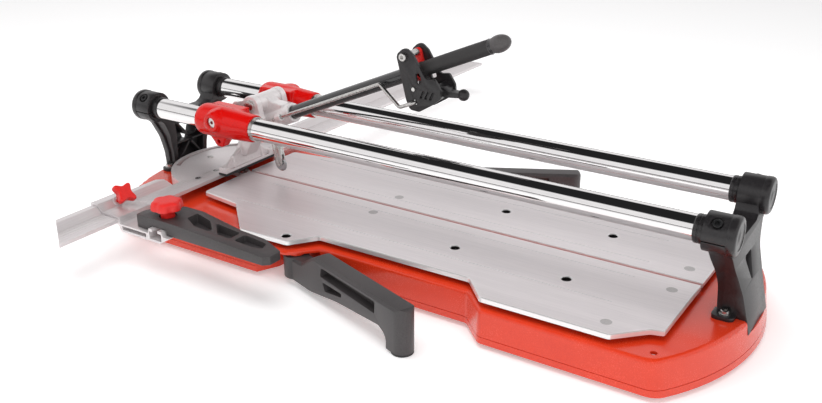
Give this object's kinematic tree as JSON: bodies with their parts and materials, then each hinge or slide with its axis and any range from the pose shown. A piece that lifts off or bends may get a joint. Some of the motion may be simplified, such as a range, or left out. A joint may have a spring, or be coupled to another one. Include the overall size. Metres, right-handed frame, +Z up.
{
  "type": "tile cutter",
  "caption": "Manual tile cutter: carriage with scoring wheel and breaker foot on twin rails over a sprung split table, swivel fence and fold-out arms.",
  "frame": {"origin": "on the bench and on the scoring line, 405 mm to the left of the inner faces of the right-hand rail collars", "axes": "+X along the rails away from the fence, +Y across the machine away from the user, +Z up"},
  "size_m": [0.916, 1.0855, 0.3245],
  "materials": {
    "red_paint": "glossy red enamel over a die-cast shell, slightly textured",
    "red_casting": "glossy red enamel on die-cast housings",
    "table_aluminium": "brushed cast aluminium with bright milled edges",
    "raw_casting": "as-cast aluminium, blasted",
    "fence_aluminium": "satin extruded aluminium",
    "rail_chrome": "ground and hard-chromed",
    "black_plastic": "satin black glass-filled nylon",
    "dark_plastic": "dark grey-brown moulded nylon",
    "red_plastic": "satin red moulded plastic",
    "black_lacquer": "semi-gloss black lacquer on steel tube",
    "grip_rubber": "black grip rubber with a fine grain",
    "foot_rubber": "black rubber",
    "steel": "bright zinc-plated steel",
    "black_steel": "black oxide steel",
    "carbide": "ground tungsten carbide"
  },
  "bodies": {
    "base": {"base_shell": "red_paint", "breaking_bar": "red_paint", "bar_screws": "steel", "base_feet": "foot_rubber", "right_tower": "black_plastic", "left_tower": "black_plastic", "tower_screws": "steel", "front_rail": "rail_chrome", "rear_rail": "rail_chrome", "rail_collars": "black_plastic", "rail_end_caps": "black_plastic", "rail_clamp_screws": "black_steel", "table_screws": "black_steel", "front_table_cushions": "foot_rubber", "rear_table_cushions": "foot_rubber", "arm_pivot_pins": "steel", "fence_pivot_bolt": "steel"},
    "front_table_body": {"front_table": "table_aluminium", "front_table_discs": "table_aluminium"},
    "rear_table_body": {"rear_table": "table_aluminium", "rear_table_discs": "table_aluminium"},
    "carriage": {"front_glide": "red_casting", "rear_glide": "red_casting", "glide_bushings": "steel", "glide_adjusters": "steel", "carriage_casting": "raw_casting", "glide_bolts": "steel", "lever_pivot_bolt": "black_steel", "separator_pin": "steel"},
    "lever": {"lever_casting": "raw_casting", "lever_tube": "black_lacquer", "grip": "grip_rubber", "grip_end": "grip_rubber", "tube_collar": "red_plastic", "wheel_holder": "steel", "holder_screw": "black_steel", "wheel_axle": "steel"},
    "wheel": {"scoring_wheel": "carbide"},
    "trigger": {"trigger_lever": "black_plastic", "trigger_axle": "steel", "trigger_roller": "steel", "trigger_stop_pin": "steel"},
    "rod": {"control_rod": "steel"},
    "separator": {"separator_foot": "raw_casting", "separator_pad": "foot_rubber"},
    "fence": {"ruler": "fence_aluminium", "ruler_screws": "steel", "swivel_disc": "raw_casting", "disc_screw": "steel"},
    "stop": {"stop_slider": "fence_aluminium", "stop_arm": "dark_plastic"},
    "star": {"star_knob": "red_plastic"},
    "clamp": {"clamp_knob": "red_plastic"},
    "front_arm": {"front_support_arm": "dark_plastic", "front_arm_pad": "foot_rubber"},
    "rear_arm": {"rear_support_arm": "dark_plastic", "rear_arm_pad": "foot_rubber"}
  },
  "joints": [
    {"name": "front_table_press", "type": "slide", "parent": "base", "child": "front_table_body", "axis": [0, 0, 1], "range_m": [-0.003, 0], "stiffness_N_per_m": 16000, "springref_m": 0.003, "deforming": ["front_table_cushions"]},
    {"name": "rear_table_press", "type": "slide", "parent": "base", "child": "rear_table_body", "axis": [0, 0, 1], "range_m": [-0.003, 0], "stiffness_N_per_m": 16000, "springref_m": 0.003, "deforming": ["rear_table_cushions"]},
    {"name": "carriage_slide", "type": "slide", "parent": "base", "child": "carriage", "axis": [1, 0, 0], "range_m": [0, 0.59]},
    {"name": "lever_swing", "type": "hinge", "parent": "carriage", "child": "lever", "pos_m": [-0.252, 0, 0.177], "axis": [0, -1, 0], "range_deg": [-14, 22]},
    {"name": "wheel_spin", "type": "hinge", "parent": "lever", "child": "wheel", "pos_m": [-0.228, 0, 0.084], "axis": [0, 1, 0], "continuous": true},
    {"name": "trigger_pull", "type": "hinge", "parent": "lever", "child": "trigger", "pos_m": [0.00295, 0, 0.27996], "axis": [0, -1, 0], "range_deg": [0, 12], "stiffness_Nm_per_rad": 1.2, "springref_deg": -20.05},
    {"name": "rod_slide", "type": "slide", "parent": "lever", "child": "rod", "axis": [0.9184, 0, 0.3955], "range_m": [0, 0.0125]},
    {"name": "foot_lift", "type": "hinge", "parent": "carriage", "child": "separator", "pos_m": [-0.278, 0, 0.122], "axis": [0, 1, 0], "range_deg": [0, 29]},
    {"name": "fence_swivel", "type": "hinge", "parent": "base", "child": "fence", "pos_m": [-0.303, 0, 0.057], "axis": [0, 0, 1], "range_deg": [-26, 12]},
    {"name": "stop_slide", "type": "slide", "parent": "fence", "child": "stop", "axis": [0, 1, 0], "range_m": [-0.06, 0.008]},
    {"name": "star_knob_turn", "type": "hinge", "parent": "stop", "child": "star", "pos_m": [-0.3385, -0.216, 0.0724], "axis": [0.722, 0, 0.6919], "range_deg": [-180, 180]},
    {"name": "clamp_knob_turn", "type": "hinge", "parent": "stop", "child": "clamp", "pos_m": [-0.234, -0.221, 0.09], "axis": [0, 0, 1], "range_deg": [-180, 180]},
    {"name": "front_arm_swing", "type": "hinge", "parent": "base", "child": "front_arm", "pos_m": [-0.075, -0.155, 0.02], "axis": [0, 0, 1], "range_deg": [-70, 15]},
    {"name": "rear_arm_swing", "type": "hinge", "parent": "base", "child": "rear_arm", "pos_m": [-0.075, 0.155, 0.02], "axis": [0, 0, -1], "range_deg": [-60, 24]}
  ],
  "couplings": [
    {"joint": "rod_slide", "follows": "trigger_pull", "m_per_rad": 0.059},
    {"joint": "foot_lift", "follows": "trigger_pull", "ratio": 2.4}
  ]
}
